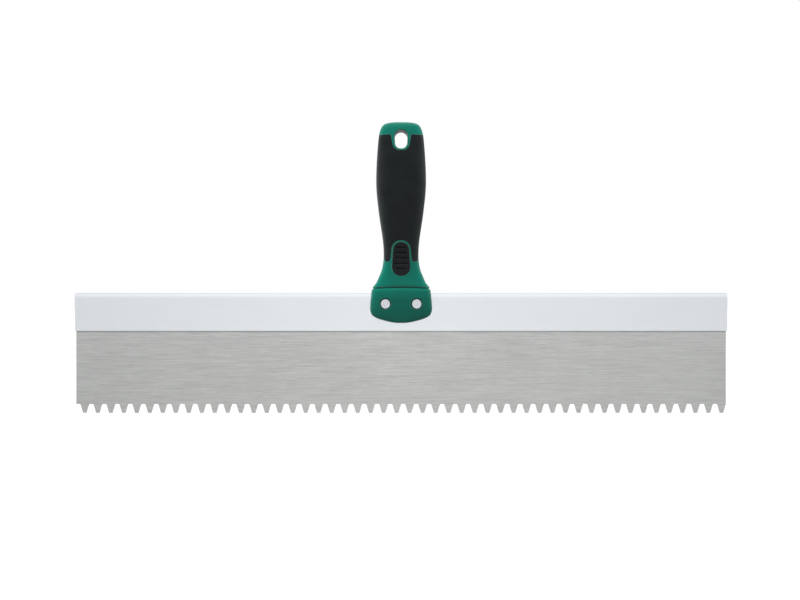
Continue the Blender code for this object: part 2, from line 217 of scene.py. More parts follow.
class TrowelSpineSettings(bpy.types.PropertyGroup):
    """Sizes and colours of the aluminium spine"""

    crown: length("Crown", "Height of the rounded top", 4.6 * MM)
    lip: length("Lip", "Rounding of the two lower edges", 0.5 * MM)
    slot: length("Slot", "Width of the slot that holds the blade", 1.2 * MM)
    slot_top: length("Slot top", "Height that the slot reaches", 104.3 * MM)
    end_break: length("End break", "Chamfer around the sawn ends", 0.25 * MM)
    dark: colour("Dark line", "Aluminium in its drawn lines", (0.90, 0.92, 0.95))
    light: colour("Light line", "Aluminium between its drawn lines", (0.94, 0.96, 0.99))
    # Painted shade: darkens the spine's top edge to tone down the light on its crown.
    dust: colour("Dust", "Dust along the top edge", (0.45, 0.47, 0.49))
    worn: colour("Worn aluminium", "Aluminium on its worn edges", (0.93, 0.93, 0.93))


class TrowelHandleSettings(bpy.types.PropertyGroup):
    """Sizes and colours of the handle's stiff moulding and soft skin"""

    arch: length("Arch", "Rise of the groove above the head at its middle", 1.0 * MM)
    ring_step: length("Ring step", "Spacing of the form's sections", 2.0 * MM)
    skin: length("Skin", "Thickness of the soft skin", 2.2 * MM)
    fit: length("Fit", "Clearance between the skin and its pocket", 0.04 * MM)
    hole_rim: length("Hole rim", "Rolled edge of the hanging hole", 0.9 * MM)
    bore_rim: length("Counterbore rim", "Rolled edge of the rivets' counterbores", 0.25 * MM)
    counterbore: length("Counterbore", "Radius of the rivets' counterbores", 5.2 * MM)
    clearance: length("Slot clearance", "Gap around the spine and the rivet shanks", 0.3 * MM)
    pad_proud: length("Pad proud", "How far the thumb pads stand out", 0.4 * MM)
    groove_top: length("Top groove", "Height of the uppermost pad groove", 152.4 * MM)
    groove_pitch: length("Groove pitch", "From one pad groove to the next", 4.85 * MM)
    groove_radius: length("Groove radius", "Half the height of a pad groove", 0.72 * MM)
    groove_depth: length("Groove depth", "Depth of a pad groove at its middle", 1.5 * MM)
    green: colour("Green", "Stiff moulding", (0.001, 0.146, 0.103))
    green_pale: colour("Pale green", "Stiff moulding where it is rubbed", (0.10, 0.26, 0.21))
    black: colour("Black", "Soft skin", (0.0055, 0.0071, 0.0077))
    black_pale: colour("Pale black", "Soft skin where it is rubbed", (0.020, 0.024, 0.026))


class TrowelRivetSettings(bpy.types.PropertyGroup):
    """Sizes and colours of the two rivets"""

    head_thickness: length("Head", "Thickness of a head", 1.8 * MM)
    head_break: length("Head break", "Rounding of a head's rim", 0.35 * MM)
    barrel_radius: length("Barrel", "Radius of a barrel's shank", 2.5 * MM)
    pin_radius: length("Pin", "Radius of a pin's shank", 1.2 * MM)
    bore_radius: length("Bore", "Radius of a barrel's bore", 1.5 * MM)
    bore_floor: length("Bore floor", "How far past the middle a barrel's bore reaches", 4.3 * MM)
    dish: length("Dish", "Depth of the pressed dish in a head", 0.12 * MM)
    dish_rim: length("Dish rim", "Width of the flat rim round the dish", 0.5 * MM)
    dish_slope: length("Dish slope", "Width of the dish's sloped side", 0.35 * MM)
    metal: colour("Metal", "Pressed rivet metal", (0.84, 0.86, 0.89))
    worn: colour("Worn metal", "Rivet metal on its worn edges", (0.86, 0.87, 0.88))


class TrowelStageSettings(bpy.types.PropertyGroup):
    """Camera, floor and light"""

    distance: length("Distance", "From the camera to the blade", 1.1)
    view_width: length("View width", "Width of the view at the blade", 0.739)
    aim_x: FloatProperty(name="Aim across", description="Camera's place across", default=-1.0 * MM)
    aim_z: length("Aim height", "Camera's height above the floor", 104.3 * MM)
    floor_radius: length("Floor radius", "Radius of the pale floor", 12.0)
    floor: colour("Floor", "Pale floor", (0.18, 0.18, 0.18))
    floor_glow: amount("Floor glow", "How much the floor is lifted to the white beyond it", 0.92)
    floor_mirrored: amount("Floor in gloss", "How much the floor is lifted in glossy surfaces", 0.5)
    backdrop: amount("Backdrop", "Brightness of the white beyond the floor", 1.0)
    mirrored: amount("Mirrored surround", "Brightness of the surround in glossy surfaces", 1.0)
    surround: amount("Surround", "Light from all around on matt surfaces", 0.24)
    sun_strength: amount("Sky light", "Strength of the wide light from the upper left", 4.0)
    side_power: amount("Side softboxes", "Power of each light at the sides", 26.0)


class TrowelSettings(bpy.types.PropertyGroup):
    """All the trowel's settings"""

    blade: PointerProperty(type=TrowelBladeSettings)
    spine: PointerProperty(type=TrowelSpineSettings)
    handle: PointerProperty(type=TrowelHandleSettings)
    rivet: PointerProperty(type=TrowelRivetSettings)
    stage: PointerProperty(type=TrowelStageSettings)


# ----------------------------------------------------------- mesh operators


def start_clean():
    bpy.ops.object.select_all(action="DESELECT")


def pick(item):
    start_clean()
    item.select_set(True)
    bpy.context.view_layer.objects.active = item


def named(name):
    """The object that an operator has just added, under its own name."""
    item = bpy.context.object
    item.name = item.data.name = name
    return item


@contextmanager
def editing(item, mode="FACE", everything=False):
    """Edit mode on one object, with nothing or everything selected."""
    pick(item)
    bpy.ops.object.mode_set(mode="EDIT")
    bpy.ops.mesh.select_mode(type=mode)
    bpy.ops.mesh.select_all(action="SELECT" if everything else "DESELECT")
    yield
    bpy.ops.object.mode_set(mode="OBJECT")


def choose(item, kind, test):
    """Selects just the verts, edges or faces of the object in edit mode that pass a test."""
    bpy.ops.mesh.select_all(action="DESELECT")
    shape = bmesh.from_edit_mesh(item.data)
    for element in getattr(shape, kind):
        if test(element):
            element.select_set(True)
    shape.select_flush_mode()
    bmesh.update_edit_mesh(item.data)


def middle(element):
    """The middle of an edge or a face."""
    points = [vertex.co for vertex in element.verts]
    return sum(points, Vector()) / len(points)


def extrude(y=0.0, z=0.0):
    bpy.ops.mesh.extrude_region_move(TRANSFORM_OT_translate={"value": (0, y, z)})


def face_outwards():
    bpy.ops.mesh.select_all(action="SELECT")
    bpy.ops.mesh.normals_make_consistent(inside=False)


def outline_face(name, outline, place):
    """A flat face whose rim follows an outline of points (a, b), each put in space by place(a, b)."""
    start_clean()
    bpy.ops.mesh.primitive_circle_add(vertices=len(outline), fill_type="NGON")
    item = named(name)
    for vertex, (a, b) in zip(item.data.vertices, outline):
        vertex.co = place(a, b)
    return item


def prism(name, outline, low, high):
    """An outline (x, z) seen from the front, extruded along Y from low to high."""
    item = outline_face(name, outline, lambda x, z: (x, low, z))
    with editing(item, everything=True):
        extrude(y=high - low)
        face_outwards()
    return item


def block(name, low, high):
    """A box between two corners."""
    start_clean()
    low, high = Vector(low), Vector(high)
    bpy.ops.mesh.primitive_cube_add(size=1, location=(low + high) / 2, scale=high - low)
    bpy.ops.object.transform_apply(location=True, rotation=True, scale=True)
    return named(name)


def rod(name, radius, low, high, x, z):
    """A round bar along Y from low to high."""
    start_clean()
    bpy.ops.mesh.primitive_cylinder_add(
        vertices=ROUND_POINTS, radius=radius, depth=high - low,
        location=(x, (low + high) / 2, z), rotation=(math.radians(90), 0, 0),
    )
    bpy.ops.object.transform_apply(location=True, rotation=True, scale=True)
    return named(name)


def modify(item, kind, **settings):
    """Adds a modifier and applies it."""
    pick(item)
    step = item.modifiers.new(kind.lower(), kind)
    for key, value in settings.items():
        setattr(step, key, value)
    bpy.ops.object.modifier_apply(modifier=step.name)


def cut(item, tool, operation="DIFFERENCE"):
    """Cuts an object with a tool, which is used up."""
    modify(item, "BOOLEAN", operation=operation, solver="MANIFOLD", object=tool)
    if not item.data.polygons:
        raise RuntimeError("%s was left empty by %s" % (item.name, tool.name))
    bpy.data.objects.remove(tool)


def finish_piece(item, material, slot, *nodes):
    """Closes the mesh, shades it, gives it its material, and stands it in for its frame nodes."""
    with editing(item, "VERT", everything=True):
        bpy.ops.mesh.remove_doubles(threshold=WELD)
        bpy.ops.mesh.dissolve_degenerate(threshold=WELD)
        face_outwards()
    bpy.ops.object.shade_smooth_by_angle(angle=SHARP_ANGLE)
    modify(item, "WEIGHTED_NORMAL", keep_sharp=True)
    item.data.materials.clear()
    item.data.materials.append(material)
    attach(item, BODY)
    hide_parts(*nodes)


# ------------------------------------------------------------------ shapes


def rounded(corners, steps=12):
    """The closed outline through corners (x, z, radius) in millimetres, its corners turned to arcs."""
    outline = []
    for index, (x, z, radius) in enumerate(corners):
        corner = Vector((x, z))
        before = (Vector(corners[index - 1][:2]) - corner).normalized()
        after = (Vector(corners[(index + 1) % len(corners)][:2]) - corner).normalized()
        if radius == 0:
            outline.append(corner * MM)
            continue
        half_angle = before.angle(after) / 2
        centre = corner + (before + after).normalized() * radius / math.sin(half_angle)
        start = corner + before * radius / math.tan(half_angle) - centre
        end = corner + after * radius / math.tan(half_angle) - centre
        sweep = start.angle_signed(end)
        for step in range(steps + 1):
            outline.append((centre + Matrix.Rotation(-sweep * step / steps, 2) @ start) * MM)
    return outline


def mirrored(half):
    """A half outline at +X, and its image at -X, as one closed loop of corners."""
    return list(half) + [(-x, z, radius) for x, z, radius in reversed(half)]


def grown(outline, distance):
    """The outline with each edge moved outwards by distance."""
    area = sum(a.cross(b) for a, b in zip(outline, outline[1:] + outline[:1]))
    outward = -1 if area > 0 else 1
    result = []
    for index, point in enumerate(outline):
        along = (point - outline[index - 1]).normalized()
        onward = (outline[(index + 1) % len(outline)] - point).normalized()
        normals = [Vector((-edge.y, edge.x)) * outward for edge in (along, onward)]
        between = (normals[0] + normals[1]).normalized()
        result.append(point + between * distance / between.dot(normals[0]))
    return result


def smooth_sections(stations, step):
    """Evenly spaced sections on a smooth curve through the stations, in metres."""
    points = [
        Vector((z * MM, width * MM, depth * MM, square)) for z, width, depth, square in stations]
    sections = [points[0]]
    for index in range(len(points) - 1):
        low, high = points[index], points[index + 1]
        before, after = points[max(index - 1, 0)], points[min(index + 2, len(points) - 1)]
        chord = (high - low).xy.length
        tangent_in = (high - before) * chord / (chord + (low - before).xy.length)
        tangent_out = (after - low) * chord / (chord + (after - high).xy.length)
        count = max(1, math.ceil(chord / step))
        for k in range(1, count + 1):
            t = k / count
            sections.append(
                low * (2 * t**3 - 3 * t**2 + 1) + tangent_in * (t**3 - 2 * t**2 + t)
                + high * (3 * t**2 - 2 * t**3) + tangent_out * (t**3 - t**2)
            )
    return sections


def handle_sections(step):
    head = smooth_sections(HEAD_STATIONS, step / 2)
    groove = smooth_sections(GROOVE_STATIONS, step)
    return head + groove + smooth_sections(BODY_STATIONS, step)


def under_skin(sections):
    """The sections that run beneath the soft skin and the thumb pads."""
    return [section for section in sections if SKIN_LOW < section.x < SKIN_HIGH]


def arch_rise(x, z, arch):
    """How far the form is lifted at (x, z), so that the groove over the head bows upwards."""
    fade = max(0.0, 1 - abs(z - ARCH_HEIGHT) / ARCH_REACH)
    return arch * fade * fade * (3 - 2 * fade) * max(0.0, 1 - (x / ARCH_HALF_WIDTH) ** 2)


def handle_form(name, sections, arch, growth=0.0):
    """The whole handle, drawn up ring by ring from a disc and then pressed to its square sections."""
    start_clean()
    bpy.ops.mesh.primitive_circle_add(vertices=FORM_POINTS, radius=1, fill_type="NGON")
    item = named(name)
    first = sections[0]
    with editing(item, everything=True):
        bpy.ops.transform.resize(value=(first.y + growth, first.z + growth, 1))
        bpy.ops.transform.translate(value=(0, 0, first.x))
        for lower, upper in zip(sections, sections[1:]):
            extrude(z=upper.x - lower.x)
            wider = (upper.y + growth) / (lower.y + growth)
            deeper = (upper.z + growth) / (lower.z + growth)
            bpy.ops.transform.resize(value=(wider, deeper, 1), center_override=(0, 0, upper.x))
    for index, vertex in enumerate(item.data.vertices):
        height, half_width, half_depth, square = sections[index // FORM_POINTS]
        across, deep = vertex.co.x / (half_width + growth), vertex.co.y / (half_depth + growth)
        swell = (abs(across) ** square + abs(deep) ** square) ** (-1 / square)
        x, y = vertex.co.x * swell, vertex.co.y * swell
        vertex.co = (x, y, height + arch_rise(x, height, arch))
    with editing(item):
        face_outwards()
    return item


def surface_depth(sections, x, z):
    """Half the handle's depth at (x, z)."""
    upper = next((i for i, section in enumerate(sections) if section.x > z), len(sections) - 1)
    low, high = sections[upper - 1], sections[upper]
    section = low.lerp(high, (z - low.x) / (high.x - low.x))
    return section.z * (1 - min(abs(x) / section.y, NEARLY_WHOLE) ** section.w) ** (1 / section.w)


def rolled_cutter(name, outline, sections, side, floor, rim, steps=5):
    """A cutter for a hole from floor out through the handle's surface, with a rolled rim there.

    side is -1 at the front and +1 at the back. The rings of the roll are extruded and widened
    about the outline's middle, then each is moved to follow the surface.
    """
    centre = sum(outline, Vector((0, 0))) / len(outline)
    half = Vector([max(abs(p[k] - centre[k]) for p in outline) for k in (0, 1)])
    nominal = surface_depth(sections, centre.x, centre.y)
    item = outline_face(name, outline, lambda x, z: (x, side * floor, z))
    levels = [(0.0, nominal - rim)]
    for step in range(1, steps + 1):
        angle = math.radians(90) * step / steps
        levels.append((rim * (1 - math.cos(angle)), nominal - rim * (1 - math.sin(angle))))
    levels.append((rim, nominal + WELL_CLEAR))
    with editing(item, everything=True):
        spread, level = 0.0, floor
        for next_spread, next_level in levels:
            extrude(y=side * (next_level - level))
            ratio = [(half[k] + next_spread) / (half[k] + spread) for k in (0, 1)]
            bpy.ops.transform.resize(
                value=(ratio[0], 1, ratio[1]), center_override=(centre.x, side * next_level, centre.y))
            spread, level = next_spread, next_level
    for vertex in item.data.vertices:
        if abs(vertex.co.y) > abs(floor) + RING_MARGIN:
            vertex.co.y += side * (surface_depth(sections, vertex.co.x, vertex.co.z) - nominal)
    with editing(item):
        face_outwards()
    return item


def circle(x, z, radius):
    angles = [2 * math.pi * step / ROUND_POINTS for step in range(ROUND_POINTS)]
    return [Vector((x + radius * math.cos(a), z + radius * math.sin(a))) for a in angles]


def notched_outline(sizes):
    """The blade's outline: along the teeth from left to right, then up and back along the top."""
    rise = math.tan(sizes.flank)
    half_root = sizes.tip / 2 + sizes.depth * rise
    turn = math.pi / 2 - sizes.flank
    reach = sizes.fillet * math.tan(turn / 2)
    fillet_steps = 6
    flank = []
    for step in range(fillet_steps + 1):
        angle = turn * step / fillet_steps
        flank.append(Vector((
            half_root + reach - sizes.fillet * math.sin(angle),
            sizes.depth - sizes.fillet * (1 - math.cos(angle)),
        )))
    flank.append(Vector((sizes.tip / 2, 0)))
    left, right = BLADE_LOW.x, BLADE_HIGH.x
    outline = [Vector((left, sizes.depth))]
    for tooth in range(sizes.teeth):
        at = left + sizes.inset + tooth * sizes.pitch
        outline += [Vector((at - p.x, p.y)) for p in flank]
        if tooth < sizes.teeth - 1:
            outline += [Vector((at + p.x, p.y)) for p in reversed(flank)]
    last_tip = outline[-1].x + sizes.tip
    outline.append(Vector((last_tip, 0)))
    outline.append(Vector((right, (right - last_tip) / rise)))
    return outline + [Vector((right, BLADE_HIGH.z)), Vector((left, BLADE_HIGH.z))]


def rivet_centre():
    """The right-hand rivet's place (x, z); the left-hand one is at -x."""
    return (PIN_LOW.x + PIN_HIGH.x) / 2, (PIN_LOW.z + PIN_HIGH.z) / 2


def bore_for_rivet(item, settings, x, z):
    """Bores a clear hole for a rivet's barrel right through a piece."""
    radius = settings.rivet.barrel_radius + settings.handle.clearance
    cut(item, rod("rivet_hole", radius, -WELL_CLEAR, WELL_CLEAR, x, z))


# --------------------------------------------------------------- materials


def is_socket(value):
    return isinstance(value, bpy.types.NodeSocket)


def spaced(values):
    """Values by socket name, from keywords that have underscores for the names' spaces."""
    return {key.replace("_", " "): value for key, value in values.items()}


def add_node(tree, kind, inputs=None, **settings):
    """Adds a node; each input is a value, or an output socket to link."""
    made = tree.nodes.new(kind)
    for key, value in settings.items():
        setattr(made, key, value)
    for socket, value in (inputs or {}).items():
        if is_socket(value):
            tree.links.new(value, made.inputs[socket])
        else:
            made.inputs[socket].default_value = value
    return made


def maths(tree, operation, *values):
    made = add_node(tree, "ShaderNodeMath", dict(enumerate(values)), operation=operation)
    return made.outputs[0]


def map_range(tree, value, low, high, to_low, to_high):
    inputs = {"Value": value, "From Min": low, "From Max": high, "To Min": to_low, "To Max": to_high}
    return add_node(tree, "ShaderNodeMapRange", inputs).outputs["Result"]


def mix_colour(tree, factor, first, second):
    first, second = (given if is_socket(given) else (*given, 1.0) for given in (first, second))
    made = add_node(tree, "ShaderNodeMix", {0: factor, 6: first, 7: second}, data_type="RGBA")
    return made.outputs[2]


def new_group(name, inputs, outputs):
    """An empty node group with named inputs (name, socket kind, default) and outputs."""
    group = bpy.data.node_groups.new(name, "ShaderNodeTree")
    for label, kind, default in inputs:
        socket = group.interface.new_socket(name=label, in_out="INPUT", socket_type=kind)
        if default is not None:
            socket.default_value = default
    for label in outputs:
        group.interface.new_socket(name=label, in_out="OUTPUT", socket_type="NodeSocketFloat")
    given, result = group.nodes.new("NodeGroupInput"), group.nodes.new("NodeGroupOutput")
    return group, given.outputs, result.inputs


def drawn_lines_group():
    """Long fine lines along X, as brushing or an extrusion die leaves."""
    group, given, result = new_group("drawn_lines", (
        ("Vector", "NodeSocketVector", None),
        ("Line length", "NodeSocketFloat", 20 * MM),
        ("Line width", "NodeSocketFloat", 1 * MM),
    ), ("Lines", "Fine lines"))
    for output, finer in (("Lines", 1.0), ("Fine lines", 4.0)):
        along = maths(group, "DIVIDE", finer, given["Line length"])
        across = maths(group, "DIVIDE", finer, given["Line width"])
        scale = add_node(group, "ShaderNodeCombineXYZ", {"X": along, "Y": across, "Z": across})
        stretched = add_node(group, "ShaderNodeVectorMath", {
            0: given["Vector"], 1: scale.outputs[0]}, operation="MULTIPLY")
        noise = add_node(group, "ShaderNodeTexNoise", {
            "Vector": stretched.outputs[0], "Scale": 1.0, "Detail": 2.0, "Roughness": 0.55})
        spread = map_range(group, noise.outputs[0], 0.28, 0.72, 0.0, 1.0)
        group.links.new(spread, result[output])
    return group


def mottle_group():
    """Slow uneven patches between 0 and 1."""
    group, given, result = new_group("mottle", (
        ("Vector", "NodeSocketVector", None),
        ("Patch size", "NodeSocketFloat", 20 * MM),
    ), ("Patches",))
    scale = maths(group, "DIVIDE", 1.0, given["Patch size"])
    noise = add_node(group, "ShaderNodeTexNoise", {
        "Vector": given["Vector"], "Scale": scale, "Detail": 3.0, "Roughness": 0.55})
    group.links.new(map_range(group, noise.outputs[0], 0.3, 0.7, 0.0, 1.0), result["Patches"])
    return group


def moulded_grain_group():
    """The fine pitted texture of a spark-eroded mould."""
    group, given, result = new_group("moulded_grain", (
        ("Vector", "NodeSocketVector", None),
        ("Grain size", "NodeSocketFloat", 0.3 * MM),
    ), ("Grain",))
    scale = maths(group, "DIVIDE", 1.0, given["Grain size"])
    cells = add_node(group, "ShaderNodeTexVoronoi", {
        "Vector": given["Vector"], "Scale": scale}, feature="SMOOTH_F1")
    noise = add_node(group, "ShaderNodeTexNoise", {
        "Vector": given["Vector"], "Scale": scale, "Detail": 2.0})
    total = maths(group, "ADD", cells.outputs["Distance"], noise.outputs[0])
    group.links.new(map_range(group, total, 0.5, 1.4, 0.0, 1.0), result["Grain"])
    return group


def edge_wear_group():
    """A mask of convex and concave edges, broken up by patches."""
    group, given, result = new_group("edge_wear", (
        ("Vector", "NodeSocketVector", None),
        ("Radius", "NodeSocketFloat", 0.4 * MM),
        ("Patch size", "NodeSocketFloat", 3 * MM),
        ("Strength", "NodeSocketFloat", 1.0),
    ), ("Wear",))
    softened = add_node(group, "ShaderNodeBevel", {"Radius": given["Radius"]}, samples=4)
    geometry = group.nodes.new("ShaderNodeNewGeometry")
    alike = add_node(group, "ShaderNodeVectorMath", {
        0: softened.outputs[0], 1: geometry.outputs["Normal"]}, operation="DOT_PRODUCT")
    edge = map_range(group, alike.outputs["Value"], 1.0, 0.86, 0.0, 1.0)
    scale = maths(group, "DIVIDE", 1.0, given["Patch size"])
    noise = add_node(group, "ShaderNodeTexNoise", {
        "Vector": given["Vector"], "Scale": scale, "Detail": 3.0})
    broken = map_range(group, noise.outputs[0], 0.35, 0.65, 0.35, 1.0)
    worn = maths(group, "MULTIPLY", maths(group, "MULTIPLY", edge, broken), given["Strength"])
    group.links.new(worn, result["Wear"])
    return group


def shared_group(build):
    """A node group, built the first time that a material asks for it."""
    name = build.__name__.replace("_group", "")
    return bpy.data.node_groups.get(name) or build()


def grouped(tree, build, **inputs):
    """Places a shared group in a material and gives its outputs."""
    return add_node(tree, "ShaderNodeGroup", spaced(inputs), node_tree=shared_group(build)).outputs


def new_material(name, **constants):
    """A material, its node tree, its shader and the object coordinates that its patterns read."""
    made = bpy.data.materials.new(name)
    made.use_nodes = True
    tree = made.node_tree
    shader = tree.nodes["Principled BSDF"]
    for socket, value in spaced(constants).items():
        shader.inputs[socket].default_value = value
    place = tree.nodes.new("ShaderNodeTexCoord").outputs["Object"]
    return made, tree, shader, place


def bump(tree, shader, height, distance, strength):
    made = add_node(tree, "ShaderNodeBump", {
        "Strength": strength, "Distance": distance, "Height": height})
    tree.links.new(made.outputs[0], shader.inputs["Normal"])


def feed(tree, shader, **sockets):
    for socket, value in spaced(sockets).items():
        tree.links.new(value, shader.inputs[socket])


def brushed_steel(sizes):
    """Stainless sheet, brushed along its width, with painted shade along the joint under the spine and
    towards the teeth.
    """
    made, tree, shader, place = new_material("brushed_stainless", Metallic=1.0)
    lines = grouped(tree, drawn_lines_group, Vector=place, Line_length=30 * MM, Line_width=1.0 * MM)
    patches = grouped(tree, mottle_group, Vector=place, Patch_size=160 * MM)["Patches"]
    wear = grouped(
        tree, edge_wear_group, Vector=place, Radius=0.15 * MM, Patch_size=4 * MM, Strength=0.6)
    broad = maths(tree, "MULTIPLY", lines["Lines"], 0.45)
    grain = maths(tree, "MULTIPLY_ADD", lines["Fine lines"], 0.35, broad)
    grain = maths(tree, "MULTIPLY_ADD", patches, 0.2, grain)
    steel = mix_colour(tree, grain, sizes.dark, sizes.light)
    height = add_node(tree, "ShaderNodeSeparateXYZ", {0: place}).outputs["Z"]
    # Painted shade: the strip just under the spine stands in for the lip's shadow.
    joint = map_range(tree, height, SPINE_LOW.z - 1.7 * MM, SPINE_LOW.z - 0.3 * MM, 0.0, 0.6)
    # Painted shade: darker towards the teeth, where less light falls.
    painted_low_shade = map_range(tree, height, 0.0, SPINE_LOW.z, 0.14, 0.0)
    dulled = mix_colour(tree, painted_low_shade, steel, sizes.dull)
    joint_shaded = mix_colour(tree, joint, dulled, sizes.stain)
    bright = mix_colour(tree, wear["Wear"], joint_shaded, sizes.worn)
    rough = map_range(tree, grain, 0.0, 1.0, 0.40, 0.30)
    feed(tree, shader, Base_Color=bright, Roughness=rough)
    bump(tree, shader, lines["Fine lines"], 0.006 * MM, 0.5)
    return made


def anodised_aluminium(sizes):
    """A drawn extrusion with a satin anodised skin, and painted shade along its top edge."""
    made, tree, shader, place = new_material("satin_anodised_aluminium", Metallic=1.0)
    lines = grouped(tree, drawn_lines_group, Vector=place, Line_length=260 * MM, Line_width=0.9 * MM)
    patches = grouped(tree, mottle_group, Vector=place, Patch_size=60 * MM)["Patches"]
    wear = grouped(
        tree, edge_wear_group, Vector=place, Radius=0.15 * MM, Patch_size=3 * MM, Strength=0.1)
    grain = maths(tree, "MULTIPLY_ADD", patches, 0.5, maths(tree, "MULTIPLY", lines["Lines"], 0.5))
    skin = mix_colour(tree, grain, sizes.dark, sizes.light)
    height = add_node(tree, "ShaderNodeSeparateXYZ", {0: place}).outputs["Z"]
    # Painted shade: the top edge of the crown is darkened to tone down the light on it.
    top = map_range(tree, height, SPINE_HIGH.z - 1.3 * MM, SPINE_HIGH.z - 0.3 * MM, 0.0, 0.4)
    toned = mix_colour(tree, top, skin, sizes.dust)
    bright = mix_colour(tree, wear["Wear"], toned, sizes.worn)
    rough = map_range(tree, lines["Fine lines"], 0.0, 1.0, 0.44, 0.36)
    feed(tree, shader, Base_Color=bright, Roughness=rough)
    bump(tree, shader, lines["Fine lines"], 0.004 * MM, 0.4)
    return made


def green_plastic(sizes):
    """Satin moulded polypropylene."""
    made, tree, shader, place = new_material(
        "green_polypropylene", Specular_IOR_Level=0.22, Sheen_Weight=0.2, Sheen_Roughness=0.4)
    grain = grouped(tree, moulded_grain_group, Vector=place, Grain_size=0.35 * MM)["Grain"]
    patches = grouped(tree, mottle_group, Vector=place, Patch_size=14 * MM)["Patches"]
    wear = grouped(tree, edge_wear_group, Vector=place, Radius=1.2 * MM, Patch_size=2 * MM, Strength=0.8)
    deep = tuple(value * 0.86 for value in sizes.green)
    base = mix_colour(tree, patches, deep, sizes.green)
    rubbed = mix_colour(tree, wear["Wear"], base, sizes.green_pale)
    rough = map_range(tree, maths(tree, "MULTIPLY_ADD", patches, 0.5, grain), 0.0, 1.5, 0.34, 0.48)
    feed(tree, shader, Base_Color=rubbed, Roughness=rough)
    bump(tree, shader, grain, 0.02 * MM, 0.35)
    return made


def black_rubber(sizes):
    """Matt soft elastomer."""
    made, tree, shader, place = new_material(
        "black_elastomer", Specular_IOR_Level=0.14, Sheen_Weight=0.2, Sheen_Roughness=0.45)
    grain = grouped(tree, moulded_grain_group, Vector=place, Grain_size=0.28 * MM)["Grain"]
    patches = grouped(tree, mottle_group, Vector=place, Patch_size=11 * MM)["Patches"]
    wear = grouped(tree, edge_wear_group, Vector=place, Radius=0.5 * MM, Patch_size=2 * MM, Strength=0.5)
    toned = mix_colour(tree, maths(tree, "MULTIPLY", patches, 0.25), sizes.black, sizes.black_pale)
    rubbed = mix_colour(tree, wear["Wear"], toned, sizes.black_pale)
    rough = map_range(tree, grain, 0.0, 1.0, 0.50, 0.66)
    feed(tree, shader, Base_Color=rubbed, Roughness=rough)
    bump(tree, shader, grain, 0.03 * MM, 0.5)
    return made


def rivet_metal(sizes):
    """Pressed aluminium with faint turned rings around each rivet's axis."""
    made, tree, shader, place = new_material("pressed_rivet_metal", Metallic=1.0)
    x, z = rivet_centre()
    parts = add_node(tree, "ShaderNodeSeparateXYZ", {0: place}).outputs
    across = maths(tree, "SUBTRACT", maths(tree, "ABSOLUTE", parts["X"]), x)
    up = maths(tree, "SUBTRACT", parts["Z"], z)
    flat = add_node(tree, "ShaderNodeCombineXYZ", {"X": across, "Z": up}).outputs[0]
    radius = add_node(tree, "ShaderNodeVectorMath", {0: flat}, operation="LENGTH").outputs["Value"]
    turned = add_node(
        tree, "ShaderNodeTexNoise", {"W": radius, "Scale": 2600.0}, noise_dimensions="1D")
    rings = map_range(tree, turned.outputs[0], 0.3, 0.7, 0.0, 1.0)
    patches = grouped(tree, mottle_group, Vector=place, Patch_size=2.5 * MM)["Patches"]
    wear = grouped(
        tree, edge_wear_group, Vector=place, Radius=0.25 * MM, Patch_size=1 * MM, Strength=0.5)
    dull = tuple(value * 0.8 for value in sizes.metal)
    turning = maths(tree, "MULTIPLY", rings, 0.4)
    uneven = maths(tree, "MULTIPLY_ADD", patches, 0.6, turning)
    base = mix_colour(tree, uneven, dull, sizes.metal)
    bright = mix_colour(tree, wear["Wear"], base, sizes.worn)
    feed(tree, shader, Base_Color=bright, Roughness=map_range(tree, rings, 0.0, 1.0, 0.34, 0.46))
    bump(tree, shader, maths(tree, "ADD", rings, patches), 0.01 * MM, 0.5)
    return made


def matt_floor(sizes):
    """Plain pale paint, lifted to the white beyond it for the camera and weaker in glossy surfaces."""
    made, tree, shader, place = new_material(
        "pale_floor", Roughness=0.9, Specular_IOR_Level=0.0, Emission_Strength=1.0)
    patches = grouped(tree, mottle_group, Vector=place, Patch_size=0.8)["Patches"]
    deep = tuple(value * 0.995 for value in sizes.floor)
    across = add_node(tree, "ShaderNodeSeparateXYZ", {0: place}).outputs["X"]
    aside = map_range(tree, maths(tree, "ABSOLUTE", across), *FLOOR_FADE)
    path = tree.nodes.new("ShaderNodeLightPath").outputs
    level = maths(tree, "MULTIPLY", aside, sizes.floor_mirrored)
    mirrored = mix_colour(tree, path["Is Glossy Ray"], (0, 0, 0), level)
    glow = mix_colour(tree, path["Is Camera Ray"], mirrored, (sizes.floor_glow,) * 3)
    feed(tree, shader, Base_Color=mix_colour(tree, patches, deep, sizes.floor), Emission_Color=glow)
    return made


def shared_material(build, sizes):
    """A material, built the first time that a piece asks for it."""
    key = "trowel_" + build.__name__
    for item in bpy.data.materials:
        if item.get("made_by") == key:
            return item
    made = build(sizes)
    made["made_by"] = key
    return made


# --------------------------------------------------------------- operators


class TROWEL_OT_blade(bpy.types.Operator):
    """Model the toothed blade"""

    bl_idname = "trowel.blade"
    bl_label = "Blade"

    def execute(self, context):
        settings = context.scene.trowel
        sizes = settings.blade
        item = prism("steel_blade", notched_outline(sizes), BLADE_LOW.y, BLADE_HIGH.y)
        with editing(item, "EDGE"):
            choose(item, "edges", lambda edge: abs(edge.verts[0].co.y - edge.verts[1].co.y) < WELD)
            bpy.ops.mesh.bevel(offset=sizes.edge_break, segments=1, affect="EDGES")
        x, z = rivet_centre()
        for at in (-x, x):
            bore_for_rivet(item, settings, at, z)
        finish_piece(item, shared_material(brushed_steel, sizes), "blade_steel", "blade")
        return {"FINISHED"}


